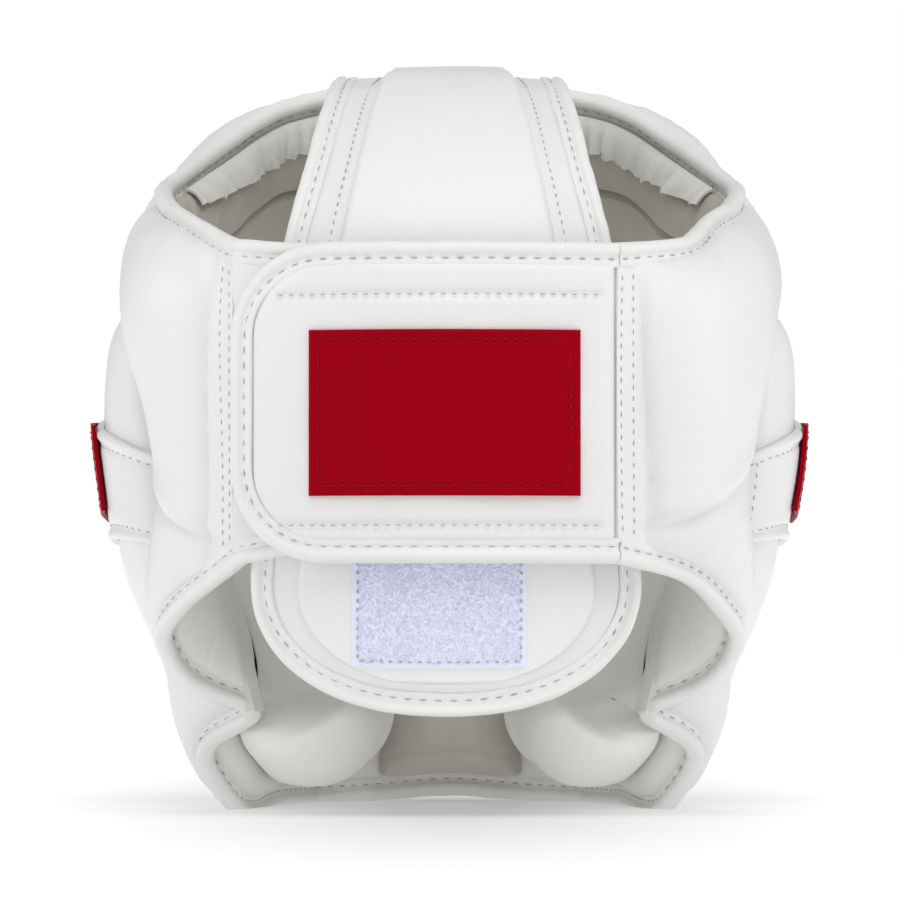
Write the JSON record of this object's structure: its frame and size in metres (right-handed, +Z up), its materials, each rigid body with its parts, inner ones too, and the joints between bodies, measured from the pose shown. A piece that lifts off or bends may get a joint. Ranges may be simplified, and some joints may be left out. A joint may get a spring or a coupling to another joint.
{
  "type": "sparring head guard",
  "caption": "Padded leather head guard: forehead band, crown panel with a nape tongue, puffed side panels, cheek guards with inner pads, chin guard and a rear closing flap",
  "frame": {"origin": "Middle of the bounding box on the floor, under the head hollow.", "axes": "+Z up, +Y the way the wearer faces, +X to the wearer's right."},
  "size_m": [0.2496, 0.2666, 0.257],
  "materials": {
    "white_leather": "white synthetic leather, fine grain, soft satin sheen",
    "lining_leather": "off-white smooth lining leather, soft satin",
    "red_leather": "deep red glossy synthetic leather",
    "loop_fabric": "pale lavender-white brushed loop fabric",
    "hook_fabric": "dark purple-red hook fabric"
  },
  "bodies": {
    "root": {"forehead_band": "white_leather", "crown_panel": "white_leather", "crown_binding": "white_leather", "loop_patch": "loop_fabric", "left_side_panel": "white_leather", "right_side_panel": "white_leather", "left_cheek_guard": "white_leather", "right_cheek_guard": "white_leather", "left_cheek_pad": "lining_leather", "right_cheek_pad": "lining_leather", "chin_guard": "white_leather", "chin_pad": "lining_leather", "rear_flap": "white_leather", "flap_binding": "white_leather", "left_rear_tab": "white_leather", "red_patch": "red_leather", "left_side_strap": "white_leather", "right_side_strap": "white_leather", "left_hook_strip": "hook_fabric", "right_hook_strip": "hook_fabric", "left_pull_tab": "red_leather", "right_pull_tab": "red_leather", "lower_binding": "white_leather", "left_top_binding": "white_leather", "right_top_binding": "white_leather", "face_binding": "white_leather"}
  },
  "joints": []
}
